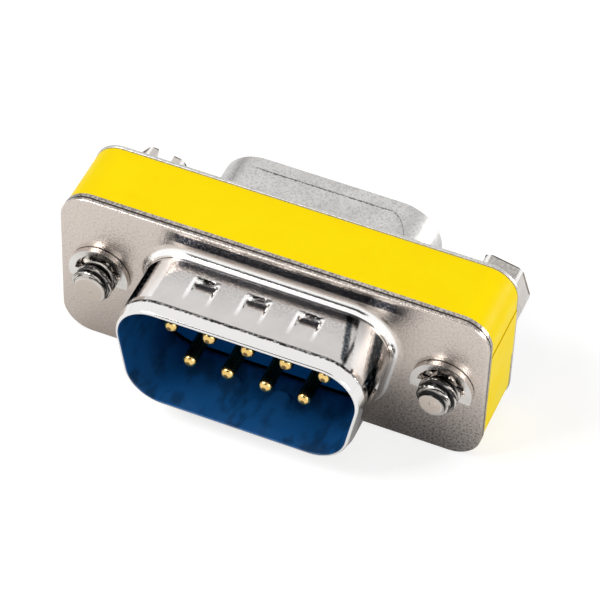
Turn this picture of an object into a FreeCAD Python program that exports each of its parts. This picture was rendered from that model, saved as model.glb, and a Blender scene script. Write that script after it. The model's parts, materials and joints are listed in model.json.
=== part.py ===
import FreeCAD, Part
import math
import os

import Sketcher

# Slim nine-way d-sub gender changer: a plug at the front, a socket at the rear, two captive
# jackscrews through the flanges.
# +X runs along the flanges, +Y from the plug to the socket, +Z up, all in millimetres.
# The origin is the centre of the plug flange's front face.

doc = FreeCAD.newDocument("gender_changer")
sheet = doc.addObject("Spreadsheet::Sheet", "dims")

# Driving dimensions: name, number, what it is
DIMENSIONS = [
    ("flange_width", 30.9, "both flanges, along X"),
    ("flange_height", 12.75, "both flanges, along Z"),
    ("flange_corner", 2.2, "corner radius of the flanges"),
    ("flange_edge", 0.12, "bevel of a flange's outer edge"),
    ("body_depth", 5.83, "from the plug flange's face to the socket flange's face"),
    ("plug_gauge", 0.4, "sheet of the plug shell"),
    ("socket_gauge", 0.3, "sheet of the socket shell"),
    ("backing_gauge", 0.3, "sheet of the plate behind the plug flange"),
    ("plug_share", 0.546926, "plug shell's widest inside width as a share of the flange's"),
    ("plug_height", 8.2, "inside height of the plug shell"),
    ("plug_corner", 2.6, "inside corner radius of the plug shell"),
    ("plug_reach", 5.83, "plug shell in front of its flange"),
    ("mating_gap_across", 0.6, "how much narrower the socket shell is than the plug's inside"),
    ("mating_gap_up", 0.3, "how much lower it is"),
    ("socket_corner", 3.1, "outside corner radius of the socket shell"),
    ("socket_reach", 5.17, "socket shell behind its flange"),
    ("side_lean", 10.0, "lean of a shell's slanted sides, in degrees"),
    ("root_bevel", 0.42, "bend from a flange into its shell, on the outside"),
    ("inner_root_bevel", 0.6, "the same bend on the inside"),
    ("lip_taper_run", 1.2, "length of the lead-in taper at the plug's mouth"),
    ("lip_taper_depth", 0.12, "depth of that taper"),
    ("lip_bevel", 0.12, "outer bevel of a shell's mouth"),
    ("dent_width", 1.65, "pressed dent, across"),
    ("dent_run", 2.5, "pressed dent, along Y"),
    ("dent_depth", 0.36, "pressed dent at its deep end"),
    ("dent_corner", 0.45, "plan corner radius of a dent"),
    ("dent_border_width", 0.25, "how much wider the bulge inside is, on each side"),
    ("dent_pitch", 3.7, "spacing of the dents in a row"),
    ("dent_setback", 1.6, "from the flange face to a dent's deep end"),
    ("side_dent_rise", 0.75, "height of the dent on each slanted side above mid-height"),
    ("screw_share", 0.808738, "spacing of the jackscrews' axes as a share of the flange's width"),
    ("screw_hole", 1.5, "radius of the jackscrew holes"),
    ("shank_radius", 1.42, "jackscrew shank and thread, outer radius"),
    ("tip_reach", 2.02, "jackscrew tip in front of the flange"),
    ("tip_radius", 0.95, "flat on the jackscrew's tip"),
    ("tip_bevel_run", 0.45, "length of the tip's taper"),
    ("neck_radius", 1.0, "groove for the retaining ring"),
    ("ring_gauge", 0.4, "retaining ring's sheet"),
    ("ring_radius", 2.2, "retaining ring's outer radius"),
    ("ring_rim", 0.48, "width of the ring's rim between its prongs"),
    ("ring_prong", 0.8, "width of each of the ring's three prongs"),
    ("ring_cut", 0.62, "the ring is cut off straight this far below its centre"),
    ("left_ring_turn", -2.0, "turn of the left ring's opening from straight down, in degrees"),
    ("right_ring_turn", 4.0, "turn of the right ring's opening, in degrees"),
    ("axial_play", 0.05, "gap at a ring, a head and a seated face"),
    ("running_gap", 0.03, "gap round contacts and rings"),
    ("head_flats", 4.3, "hexagon head, across flats"),
    ("head_length", 4.43, "hexagon head, along Y"),
    ("head_corner_bevel", 0.13, "45 degree bevel of the head's corners at its end"),
    ("left_head_turn", -9.0, "a corner of the left head, degrees from +X towards +Z"),
    ("right_head_turn", -12.2, "a corner of the right head"),
    ("left_slot_turn", 83.5, "slot of the left head, degrees from +X towards +Z"),
    ("right_slot_turn", -50.0, "slot of the right head"),
    ("socket_thread_radius", 1.12, "threaded hole in the head"),
    ("socket_thread_depth", 4.2, "depth of that hole"),
    ("slot_width", 1.15, "screwdriver slot across the head's end"),
    ("slot_depth", 1.7, "depth of that slot"),
    ("frame_inset", 0.12, "spacer frame inside the flange outline"),
    ("label_gauge", 0.06, "label film"),
    ("label_margin", 0.05, "bare strip between a flange and the label"),
    ("label_lap_top", 3.1, "height of the label's lapped end on the right side"),
    ("label_lap_run", 4.4, "length of the lap, downwards"),
    ("insulator_rim", 1.0, "insulator's flange round its nose"),
    ("insulator_gap", 0.08, "gap round an insulator's nose and rim"),
    ("face_recess", 0.35, "socket insulator's face inside the shell's mouth"),
    ("pin_radius", 0.51, "contact pin"),
    ("pin_reach", 4.16, "pin tip in front of the plug flange"),
    ("pin_point", 0.3, "bevel of a pin's tip"),
    ("collar_side", 1.8, "contact's square collar, across"),
    ("collar_length", 1.0, "contact's square collar, along Y"),
    ("barrel_radius", 0.82, "contact's socket barrel"),
    ("barrel_bore", 0.54, "bore of that barrel"),
    ("barrel_depth", 5.0, "depth of that bore"),
    ("barrel_setback", 0.3, "barrel's end inside the insulator's face"),
    ("pitch_share", 0.163905, "contact spacing along a row as a share of the plug's inside width"),
    ("row_pitch", 2.84, "spacing of the two rows"),
]

for row, (alias, number, meaning) in enumerate(DIMENSIONS, start=1):
    sheet.set("A%d" % row, meaning)
    sheet.set("B%d" % row, str(number))
    sheet.setAlias("B%d" % row, alias)
doc.recompute()


class Size:
    """A size of the part: its number now, and the sheet expression that drives it."""

    def __init__(self, number, text):
        self.number = number
        self.text = text

    def __add__(self, other):
        other = as_size(other)
        return Size(self.number + other.number, "(%s + %s)" % (self.text, other.text))

    def __sub__(self, other):
        other = as_size(other)
        return Size(self.number - other.number, "(%s - %s)" % (self.text, other.text))

    def __mul__(self, factor):
        factor = as_size(factor)
        return Size(self.number * factor.number, "(%s * %s)" % (self.text, factor.text))

    def __truediv__(self, divisor):
        return Size(self.number / divisor, "(%s / %.9f)" % (self.text, divisor))

    def __neg__(self):
        return Size(-self.number, "(0 - %s)" % self.text)


def as_size(value):
    """A plain number, such as 0, becomes a Size of its own."""
    if isinstance(value, Size):
        return value
    return Size(float(value), "%.9f" % value)


def dim(alias):
    """The driving dimension of that name."""
    return Size(float(sheet.get(alias)), "dims.%s" % alias)


ZERO = as_size(0)
LEAN = dim("side_lean")
LEAN_ANGLE = math.radians(LEAN.number)

# Planes along Y
PLUG_FACE = ZERO
PLUG_BACK = dim("plug_gauge")
FRAME_FRONT = PLUG_BACK + dim("backing_gauge")
SOCKET_FACE = dim("body_depth")
FRAME_REAR = SOCKET_FACE - dim("socket_gauge")
MIDDLE = (FRAME_FRONT + FRAME_REAR) / 2
SOCKET_TIP = SOCKET_FACE + dim("socket_reach")

# What follows the flange's width: the shells, the contacts and the screws' half spacing
PLUG_WIDTH = dim("flange_width") * dim("plug_share")
SOCKET_WIDTH = PLUG_WIDTH - dim("mating_gap_across")
SOCKET_HEIGHT = dim("plug_height") - dim("mating_gap_up")
PIN_PITCH = PLUG_WIDTH * dim("pitch_share")
SCREW_X = dim("flange_width") * dim("screw_share") / 2

# Room past the solid for a cut that goes right through
OVERCUT = 0.5


def bind(feature, prop, size):
    """Tie one property of a feature to the sheet."""
    feature.setExpression(prop, as_size(size).text)


def new_body(label):
    """An empty body that carries one sub-part."""
    body = doc.addObject("PartDesign::Body", label)
    body.Label = label
    return body


def origin_plane(body, role):
    """One of the body's own origin planes."""
    return [plane for plane in body.Origin.OriginFeatures if plane.Role == role][0]


def facing_sketch(body, name, depth):
    """A sketch across the Y axis at that depth: its x is +X, its y is +Z."""
    sketch = body.newObject("Sketcher::SketchObject", name)
    sketch.AttachmentSupport = [(origin_plane(body, "XZ_Plane"), "")]
    sketch.MapMode = "FlatFace"
    bind(sketch, "AttachmentOffset.Base.z", -as_size(depth))
    return sketch


def axial_sketch(body, name):
    """A sketch for turned profiles: its x is the radius, its y runs along +Y."""
    sketch = body.newObject("Sketcher::SketchObject", name)
    sketch.AttachmentSupport = [(origin_plane(body, "XY_Plane"), "")]
    sketch.MapMode = "FlatFace"
    return sketch


def constrain(sketch, kind, places, size=None):
    """One constraint, driven by the sheet where it has a size."""
    if size is None:
        return sketch.addConstraint(Sketcher.Constraint(kind, *places))
    index = sketch.addConstraint(Sketcher.Constraint(kind, *places, size.number))
    name = "size_%d" % index
    sketch.renameConstraint(index, name)
    bind(sketch, "Constraints.%s" % name, size)
    return index


def pin_point(sketch, edge, end, along_x, along_y):
    """Hold one end of an edge at a place measured from the sketch's origin."""
    for kind, size, axis in (("DistanceX", along_x, -2), ("DistanceY", along_y, -1)):
        if size.text == ZERO.text:
            constrain(sketch, "PointOnObject", (edge, end, axis))
        else:
            constrain(sketch, kind, (-1, 1, edge, end), size)


def polygon(sketch, corners):
    """A closed outline of straight edges through corners given as pairs of sizes."""
    corners = [(as_size(x), as_size(y)) for x, y in corners]
    points = [FreeCAD.Vector(x.number, y.number, 0) for x, y in corners]
    first = sketch.GeometryCount
    count = len(points)
    for i in range(count):
        sketch.addGeometry(Part.LineSegment(points[i], points[(i + 1) % count]), False)
    for i in range(count):
        constrain(sketch, "Coincident", (first + i, 2, first + (i + 1) % count, 1))
    for i, (x, y) in enumerate(corners):
        pin_point(sketch, first + i, 1, x, y)


def circle(sketch, radius, along_x=ZERO, along_y=ZERO):
    """A circle whose centre and radius the sheet drives."""
    radius, along_x, along_y = as_size(radius), as_size(along_x), as_size(along_y)
    centre = FreeCAD.Vector(along_x.number, along_y.number, 0)
    index = sketch.addGeometry(Part.Circle(centre, FreeCAD.Vector(0, 0, 1), radius.number), False)
    constrain(sketch, "Radius", (index,), radius)
    pin_point(sketch, index, 3, along_x, along_y)


def square(sketch, side, along_x=ZERO, along_y=ZERO):
    """A square whose centre and side the sheet drives."""
    half = side / 2
    polygon(sketch, [(along_x - half, along_y - half), (along_x + half, along_y - half),
                     (along_x + half, along_y + half), (along_x - half, along_y + half)])


def rounded_outline(sketch, width, height, corner, leaning, middle_x=ZERO):
    """A closed outline of four sides and four equal corner arcs, wide side up when leaning.

    width is the widest width, measured across the upper corner arcs.
    """
    width, height, corner, middle_x = map(as_size, (width, height, corner, middle_x))
    lean = LEAN_ANGLE if leaning else 0.0
    radius = corner.number
    high = height.number / 2 - radius
    upper = width.number / 2 - radius
    lower = upper - 2 * high * math.tan(lean)
    first = sketch.GeometryCount
    turn = math.pi / 2
    arcs = [
        (lower, -high, -turn, -lean),
        (upper, high, -lean, turn),
        (-upper, high, turn, 2 * turn + lean),
        (-lower, -high, 2 * turn + lean, 3 * turn),
    ]
    starts, ends = [], []
    for x, z, start, end in arcs:
        centre = FreeCAD.Vector(middle_x.number + x, z, 0)
        arc = Part.ArcOfCircle(Part.Circle(centre, FreeCAD.Vector(0, 0, 1), radius), start, end)
        starts.append(arc.StartPoint)
        ends.append(arc.EndPoint)
        sketch.addGeometry(arc, False)
    for i in range(4):
        sketch.addGeometry(Part.LineSegment(ends[i], starts[(i + 1) % 4]), False)
    low_right, up_right, up_left, low_left = range(first, first + 4)
    right, top, left, bottom = range(first + 4, first + 8)
    for i in range(4):
        constrain(sketch, "Tangent", (first + i, 2, first + 4 + i, 1))
        constrain(sketch, "Tangent", (first + 4 + i, 2, first + (i + 1) % 4, 1))
    for arc in (low_right, up_left, low_left):
        constrain(sketch, "Equal", (up_right, arc))
    constrain(sketch, "Radius", (up_right,), corner)
    constrain(sketch, "Horizontal", (top,))
    constrain(sketch, "Horizontal", (bottom,))
    constrain(sketch, "DistanceX", (up_left, 3, up_right, 3), width - corner * 2)
    constrain(sketch, "DistanceY", (low_right, 3, up_right, 3), height - corner * 2)
    pin_point(sketch, up_right, 3, middle_x + width / 2 - corner, height / 2 - corner)
    if leaning:
        slant = Size(math.pi / 2 + lean, "((90 + %s) * 1 deg)" % LEAN.text)
        constrain(sketch, "Angle", (bottom, 1, left, 2), slant)
        constrain(sketch, "Angle", (right, 1, bottom, 2), slant)
    else:
        constrain(sketch, "Vertical", (right,))
        constrain(sketch, "Vertical", (left,))


def finish_feature(body, feature):
    """Make the feature the body's tip and work it out."""
    body.Tip = feature
    doc.recompute()
    return feature


def pad(body, name, sketch, length, rearwards=True):
    """Thicken a facing sketch towards +Y, or towards -Y."""
    feature = body.newObject("PartDesign::Pad", name)
    feature.Profile = sketch
    bind(feature, "Length", length)
    feature.Reversed = rearwards
    return finish_feature(body, feature)


def pocket(body, name, sketch, length, rearwards=True):
    """Cut a facing sketch away towards +Y, or towards -Y."""
    before = body.Shape.Volume
    feature = body.newObject("PartDesign::Pocket", name)
    feature.Profile = sketch
    bind(feature, "Length", length)
    feature.Reversed = not rearwards
    finish_feature(body, feature)
    if body.Shape.Volume >= before - 1e-6:
        raise RuntimeError("%s cuts nothing" % name)
    return feature


def turned(body, name, sketch, kind):
    """Revolve an axial sketch about the Y axis, to add or to cut."""
    feature = body.newObject("PartDesign::%s" % kind, name)
    feature.Profile = sketch
    feature.ReferenceAxis = (sketch, ["V_Axis"])
    feature.Angle = 360.0
    return finish_feature(body, feature)


def edges_on(body, depth, reach_x=None, reach_z=None, outside_x=0.0):
    """Names of the edges that lie at one depth, within a reach of the axis or outside it."""
    names = []
    for number, edge in enumerate(body.Shape.Edges, start=1):
        box = edge.BoundBox
        if abs(box.YMin - depth.number) > 1e-4 or abs(box.YMax - depth.number) > 1e-4:
            continue
        far_x = max(abs(box.XMin), abs(box.XMax))
        far_z = max(abs(box.ZMin), abs(box.ZMax))
        if reach_x is not None and far_x > reach_x.number + 1e-4:
            continue
        if reach_z is not None and far_z > reach_z.number + 1e-4:
            continue
        if far_x < outside_x - 1e-4:
            continue
        names.append("Edge%d" % number)
    if not names:
        raise RuntimeError("no edge of %s lies at %.3f" % (body.Label, depth.number))
    return names


def fillet(body, name, edges, radius):
    """Round the named edges of the body's last feature."""
    base = body.Tip
    feature = body.newObject("PartDesign::Fillet", name)
    feature.Base = (base, edges)
    bind(feature, "Radius", radius)
    return finish_feature(body, feature)


def bevel(body, name, edges, size):
    """Cut the named edges at 45 degrees."""
    base = body.Tip
    feature = body.newObject("PartDesign::Chamfer", name)
    feature.Base = (base, edges)
    bind(feature, "Size", size)
    return finish_feature(body, feature)


def taper(body, name, edges, run, depth):
    """Bevel the named edges: run along Y, depth across the wall."""
    base = body.Tip
    feature = body.newObject("PartDesign::Chamfer", name)
    feature.Base = (base, edges)
    feature.ChamferType = "Two distances"
    bind(feature, "Size", run)
    bind(feature, "Size2", depth)
    return finish_feature(body, feature)


def screw_holes(body, depth, length, rearwards):
    """The two holes that the jackscrews pass through."""
    sketch = facing_sketch(body, "screw_hole_outline", depth)
    for side in (-1, 1):
        circle(sketch, dim("screw_hole"), SCREW_X * side, ZERO)
    pocket(body, "screw_holes", sketch, length, rearwards)


# Drawn shells: a flat flange and a D-shaped collar pressed out of one sheet
def drawn_shell(label, face, frontwards, width, height, corner, reach, gauge, tapered):
    """One shell. width, height and corner are the collar's outside sizes.

    A tapered shell has a lead-in taper at its mouth.
    """
    body = new_body(label)
    away = -1 if frontwards else 1
    tip = face + reach * away
    back = face - gauge * away

    outline = facing_sketch(body, "flange_outline", face)
    rounded_outline(outline, dim("flange_width"), dim("flange_height"), dim("flange_corner"), False)
    pad(body, "flange", outline, gauge, rearwards=frontwards)

    collar = facing_sketch(body, "collar_outline", face)
    rounded_outline(collar, width, height, corner, True)
    pad(body, "collar", collar, reach, rearwards=not frontwards)

    bevel(body, "root_bevel", edges_on(body, face, width / 2, height / 2), dim("root_bevel"))
    if tapered:
        taper(body, "mouth_taper", edges_on(body, tip), dim("lip_taper_run"), dim("lip_taper_depth"))
    bevel(body, "mouth_bevel", edges_on(body, tip), dim("lip_bevel"))
    corner_start = dim("flange_width").number / 2 - dim("flange_corner").number
    bevel(body, "edge_bevel", edges_on(body, face, outside_x=corner_start), dim("flange_edge"))

    inside = facing_sketch(body, "mouth_outline", tip + as_size(OVERCUT) * away)
    rounded_outline(inside, width - gauge * 2, height - gauge * 2, corner - gauge, True)
    pocket(body, "hollow", inside, reach + gauge + 2 * OVERCUT, rearwards=frontwards)
    bevel(body, "inner_root_bevel", edges_on(body, back, width / 2, height / 2), dim("inner_root_bevel"))
    screw_holes(body, face + as_size(OVERCUT) * away, gauge + 2 * OVERCUT, rearwards=frontwards)
    return body


PLUG_OUT_WIDTH = PLUG_WIDTH + dim("plug_gauge") * 2
PLUG_OUT_HEIGHT = dim("plug_height") + dim("plug_gauge") * 2
PLUG_OUT_CORNER = dim("plug_corner") + dim("plug_gauge")



# Dents pressed into the plug shell
def wedge(label, width, near, far, top, deep, shallow, corner=None):
    """A ramp along Y: its floor runs from deep at y = near to shallow at y = far.

    A corner rounds the deep end's two upright edges.
    """
    body = new_body(label)
    sketch = body.newObject("Sketcher::SketchObject", "ramp_outline")
    sketch.AttachmentSupport = [(origin_plane(body, "YZ_Plane"), "")]
    sketch.MapMode = "FlatFace"
    polygon(sketch, [(far, shallow), (near, deep), (near, top), (far, top)])
    feature = body.newObject("PartDesign::Pad", "ramp")
    feature.Profile = sketch
    bind(feature, "Length", width)
    feature.Midplane = True
    finish_feature(body, feature)
    if corner is None:
        return body
    upright = []
    for number, edge in enumerate(body.Shape.Edges, start=1):
        box = edge.BoundBox
        if box.XLength < 1e-4 and box.YLength < 1e-4 and abs(box.YMin - near.number) < 1e-4:
            upright.append("Edge%d" % number)
    fillet(body, "end_rounding", upright, corner)
    return body


def place(item, along_x, along_y, along_z, turn):
    """Put an item at a place driven by the sheet, turned about the Y axis by degrees."""
    axis = FreeCAD.Vector(0, 1, 0)
    item.Placement = FreeCAD.Placement(FreeCAD.Vector(), FreeCAD.Rotation(axis, turn))
    for coordinate, size in (("x", along_x), ("y", along_y), ("z", along_z)):
        bind(item, "Placement.Base.%s" % coordinate, size)


def slant_x(height):
    """Half width of the plug shell's outside on its slanted side at that height."""
    middle = PLUG_OUT_WIDTH / 2 - PLUG_OUT_CORNER
    fall = PLUG_OUT_HEIGHT / 2 - PLUG_OUT_CORNER - height
    number = middle.number + PLUG_OUT_CORNER.number / math.cos(LEAN_ANGLE)
    number -= fall.number * math.tan(LEAN_ANGLE)
    text = "(%s + %s / cos(%s * 1 deg) - %s * tan(%s * 1 deg))"
    return Size(number, text % (middle.text, PLUG_OUT_CORNER.text, LEAN.text, fall.text, LEAN.text))


front_sheet = drawn_shell("front_sheet", PLUG_FACE, True, PLUG_OUT_WIDTH, PLUG_OUT_HEIGHT,
                          PLUG_OUT_CORNER, dim("plug_reach"), dim("plug_gauge"), True)
side_turn = 90.0 + LEAN.number
SIDE_X = slant_x(dim("side_dent_rise"))
DENTS = [
    ("top_left", -dim("dent_pitch"), PLUG_OUT_HEIGHT / 2, 0.0),
    ("top_middle", ZERO, PLUG_OUT_HEIGHT / 2, 0.0),
    ("top_right", dim("dent_pitch"), PLUG_OUT_HEIGHT / 2, 0.0),
    ("bottom_left", -dim("dent_pitch") / 2, -PLUG_OUT_HEIGHT / 2, 180.0),
    ("bottom_right", dim("dent_pitch") / 2, -PLUG_OUT_HEIGHT / 2, 180.0),
    ("left_side", -SIDE_X, dim("side_dent_rise"), -side_turn),
    ("right_side", SIDE_X, dim("side_dent_rise"), side_turn),
]
bulges, dents = [], []
for name, along_x, along_z, turn in DENTS:
    border = dim("dent_border_width")
    bulge = wedge("bulge_%s" % name, dim("dent_width") + border * 2, border, -dim("dent_run"),
                  -dim("plug_gauge") / 2, -(dim("plug_gauge") + dim("dent_depth")),
                  -dim("plug_gauge") * 0.9)
    dent = wedge("dent_%s" % name, dim("dent_width"), ZERO, -dim("dent_run"), as_size(OVERCUT),
                 -dim("dent_depth"), as_size(0.02), dim("dent_corner"))
    for item in (bulge, dent):
        place(item, along_x, -dim("dent_setback"), along_z, turn)
    bulges.append(bulge)
    dents.append(dent)
bulged_sheet = doc.addObject("Part::MultiFuse", "bulged_sheet")
bulged_sheet.Shapes = [front_sheet] + bulges
all_dents = doc.addObject("Part::MultiFuse", "all_dents")
all_dents.Shapes = dents
front_shell = doc.addObject("Part::Cut", "front_shell")
front_shell.Base = bulged_sheet
front_shell.Tool = all_dents

rear_shell = drawn_shell("rear_shell", SOCKET_FACE, False, SOCKET_WIDTH,
                         SOCKET_HEIGHT, dim("socket_corner"), dim("socket_reach"),
                         dim("socket_gauge"), False)

# Insulators: a nose that fills each shell and a wider rim held between the plates
NOSE_GAP = dim("insulator_gap") * 2
PLUG_NOSE = (PLUG_WIDTH - NOSE_GAP, dim("plug_height") - NOSE_GAP,
             dim("plug_corner") - dim("insulator_gap"))
SOCKET_INSET = (dim("socket_gauge") + dim("insulator_gap")) * 2
SOCKET_NOSE = (SOCKET_WIDTH - SOCKET_INSET, SOCKET_HEIGHT - SOCKET_INSET,
               dim("socket_corner") - SOCKET_INSET / 2)


def grown(outline, margin):
    """The same D outline, larger all round by a margin."""
    width, height, corner = outline
    return width + margin * 2, height + margin * 2, corner + margin


RIM = grown(PLUG_NOSE, dim("insulator_rim"))
NOSE_TIP = SOCKET_TIP - dim("face_recess")
COLLAR_FRONT = MIDDLE + dim("running_gap")
COLLAR_REAR = COLLAR_FRONT + dim("collar_length")
PLACES = [(PIN_PITCH * k, dim("row_pitch") / 2) for k in (-2, -1, 0, 1, 2)]
PLACES += [(PIN_PITCH * k, -dim("row_pitch") / 2) for k in (-1.5, -0.5, 0.5, 1.5)]


def contact_holes(body, name, radius, start, length, rearwards):
    """Nine round holes, one for each contact."""
    sketch = facing_sketch(body, name + "_outline", start)
    for along_x, along_z in PLACES:
        circle(sketch, radius, along_x, along_z)
    return pocket(body, name, sketch, length, rearwards)


front_insulator = new_body("front_insulator")
outline = facing_sketch(front_insulator, "nose_outline", PLUG_FACE)
rounded_outline(outline, *PLUG_NOSE, True)
pad(front_insulator, "nose", outline, MIDDLE)
outline = facing_sketch(front_insulator, "rim_outline", FRAME_FRONT)
rounded_outline(outline, *RIM, True)
pad(front_insulator, "rim", outline, MIDDLE - FRAME_FRONT)
contact_holes(front_insulator, "pin_holes", dim("pin_radius") + dim("running_gap"),
              PLUG_FACE - OVERCUT, MIDDLE + 2 * OVERCUT, True)

rear_insulator = new_body("rear_insulator")
outline = facing_sketch(rear_insulator, "nose_outline", MIDDLE)
rounded_outline(outline, *SOCKET_NOSE, True)
pad(rear_insulator, "nose", outline, NOSE_TIP - MIDDLE)
outline = facing_sketch(rear_insulator, "rim_outline", MIDDLE)
rounded_outline(outline, *RIM, True)
pad(rear_insulator, "rim", outline, FRAME_REAR - MIDDLE)
contact_holes(rear_insulator, "barrel_holes", dim("barrel_radius") + dim("running_gap"),
              MIDDLE - OVERCUT, NOSE_TIP - MIDDLE + 2 * OVERCUT, True)
outline = facing_sketch(rear_insulator, "collar_seat_outline", MIDDLE - OVERCUT)
for along_x, along_z in PLACES:
    square(outline, dim("collar_side") + dim("running_gap") * 2, along_x, along_z)
pocket(rear_insulator, "collar_seats", outline,
       dim("collar_length") + dim("running_gap") * 2 + OVERCUT)

# Plate, spacer frame and label between the two flanges
front_backing_plate = new_body("front_backing_plate")
outline = facing_sketch(front_backing_plate, "plate_outline", PLUG_BACK)
rounded_outline(outline, dim("flange_width"), dim("flange_height"), dim("flange_corner"), False)
pad(front_backing_plate, "plate", outline, dim("backing_gauge"))
outline = facing_sketch(front_backing_plate, "nose_opening_outline", PLUG_BACK - OVERCUT)
rounded_outline(outline, *grown(PLUG_NOSE, dim("insulator_gap")), True)
pocket(front_backing_plate, "nose_opening", outline, dim("backing_gauge") + 2 * OVERCUT)
screw_holes(front_backing_plate, PLUG_BACK - OVERCUT, dim("backing_gauge") + 2 * OVERCUT, True)

FRAME = grown((dim("flange_width"), dim("flange_height"), dim("flange_corner")),
              -dim("frame_inset"))
spacer_body = new_body("spacer_body")
outline = facing_sketch(spacer_body, "frame_outline", FRAME_FRONT)
rounded_outline(outline, *FRAME, False)
pad(spacer_body, "frame", outline, FRAME_REAR - FRAME_FRONT)
outline = facing_sketch(spacer_body, "opening_outline", FRAME_FRONT - OVERCUT)
rounded_outline(outline, *grown(RIM, dim("insulator_gap")), True)
pocket(spacer_body, "opening", outline, FRAME_REAR - FRAME_FRONT + 2 * OVERCUT)
screw_holes(spacer_body, FRAME_FRONT - OVERCUT, FRAME_REAR - FRAME_FRONT + 2 * OVERCUT, True)

label_band = new_body("label_band")
label_front = FRAME_FRONT + dim("label_margin")
label_length = FRAME_REAR - FRAME_FRONT - dim("label_margin") * 2
outline = facing_sketch(label_band, "film_outline", label_front)
rounded_outline(outline, *grown(FRAME, dim("label_gauge")), False)
pad(label_band, "film", outline, label_length)
outline = facing_sketch(label_band, "lap_outline", label_front)
film_side = FRAME[0] / 2 + dim("label_gauge")
lap_side = film_side + dim("label_gauge")
lap_bottom = dim("label_lap_top") - dim("label_lap_run")
polygon(outline, [(film_side - dim("label_gauge"), lap_bottom), (film_side, lap_bottom),
                  (lap_side, lap_bottom + dim("label_gauge") * 4),
                  (lap_side, dim("label_lap_top")),
                  (film_side - dim("label_gauge"), dim("label_lap_top"))])
pad(label_band, "lap", outline, label_length)
outline = facing_sketch(label_band, "inside_outline", label_front - OVERCUT)
rounded_outline(outline, *FRAME, False)
pocket(label_band, "inside", outline, label_length + 2 * OVERCUT)

# Contacts: a pin, a square collar held between the insulators, and a socket barrel
contacts = []
for number, (along_x, along_z) in enumerate(PLACES, start=1):
    body = new_body("contact_%d" % number)
    outline = axial_sketch(body, "profile")
    tip = -dim("pin_reach")
    end = NOSE_TIP - dim("barrel_setback")
    polygon(outline, [(0, tip), (dim("pin_radius") - dim("pin_point"), tip),
                      (dim("pin_radius"), tip + dim("pin_point")),
                      (dim("pin_radius"), COLLAR_FRONT), (dim("barrel_radius"), COLLAR_FRONT),
                      (dim("barrel_radius"), end), (dim("barrel_bore"), end),
                      (dim("barrel_bore"), end - dim("barrel_depth")),
                      (0, end - dim("barrel_depth"))])
    turned(body, "turning", outline, "Revolution")
    outline = facing_sketch(body, "collar_outline", COLLAR_FRONT)
    square(outline, dim("collar_side"))
    pad(body, "collar", outline, dim("collar_length"))
    place(body, along_x, ZERO, along_z, 0.0)
    contacts.append(body)


# Captive jackscrews and their retaining rings
def jackscrew(label, side, turn, slot_turn):
    """A screw turned about its own axis: tip, ring groove, shank, slotted hexagon head."""
    body = new_body(label)
    tip = -dim("tip_reach")
    groove_front = -(dim("ring_gauge") + dim("axial_play") * 2)
    head_front = SOCKET_FACE + dim("axial_play")
    head_end = head_front + dim("head_length")
    corner = dim("head_flats") * (1 / math.sqrt(3))
    half_flats = dim("head_flats") / 2

    outline = axial_sketch(body, "profile")
    polygon(outline, [(0, tip), (dim("tip_radius"), tip),
                      (dim("shank_radius"), tip + dim("tip_bevel_run")),
                      (dim("shank_radius"), groove_front), (dim("neck_radius"), groove_front),
                      (dim("neck_radius"), ZERO), (dim("shank_radius"), ZERO),
                      (dim("shank_radius"), head_front), (0, head_front)])
    turned(body, "shank", outline, "Revolution")

    outline = facing_sketch(body, "hexagon_outline", head_front)
    polygon(outline, [(corner, ZERO), (corner / 2, half_flats), (-corner / 2, half_flats),
                      (-corner, ZERO), (-corner / 2, -half_flats), (corner / 2, -half_flats)])
    pad(body, "head", outline, dim("head_length"))

    outline = axial_sketch(body, "corner_bevel_outline")
    start = corner - dim("head_corner_bevel")
    beyond = dim("head_corner_bevel") * 2
    polygon(outline, [(start, head_end), (start + beyond, head_end - beyond),
                      (start + beyond, head_end + beyond), (start, head_end + beyond)])
    turned(body, "corner_bevel", outline, "Groove")

    outline = axial_sketch(body, "bore_outline")
    bore = dim("socket_thread_radius")
    depth = dim("socket_thread_depth")
    polygon(outline, [(0, head_end + OVERCUT), (0, head_end - depth - bore * 0.58),
                      (bore, head_end - depth), (bore, head_end + OVERCUT)])
    turned(body, "bore", outline, "Groove")

    outline = facing_sketch(body, "slot_outline", head_end + OVERCUT)
    outline.AttachmentOffset = FreeCAD.Placement(
        outline.AttachmentOffset.Base,
        FreeCAD.Rotation(FreeCAD.Vector(0, 0, 1), slot_turn.number - turn.number))
    half = dim("slot_width") / 2
    reach = corner + OVERCUT
    polygon(outline, [(-reach, -half), (reach, -half), (reach, half), (-reach, half)])
    pocket(body, "slot", outline, dim("slot_depth") + OVERCUT, False)
    place(body, SCREW_X * side, ZERO, ZERO, -turn.number)
    return body


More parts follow.
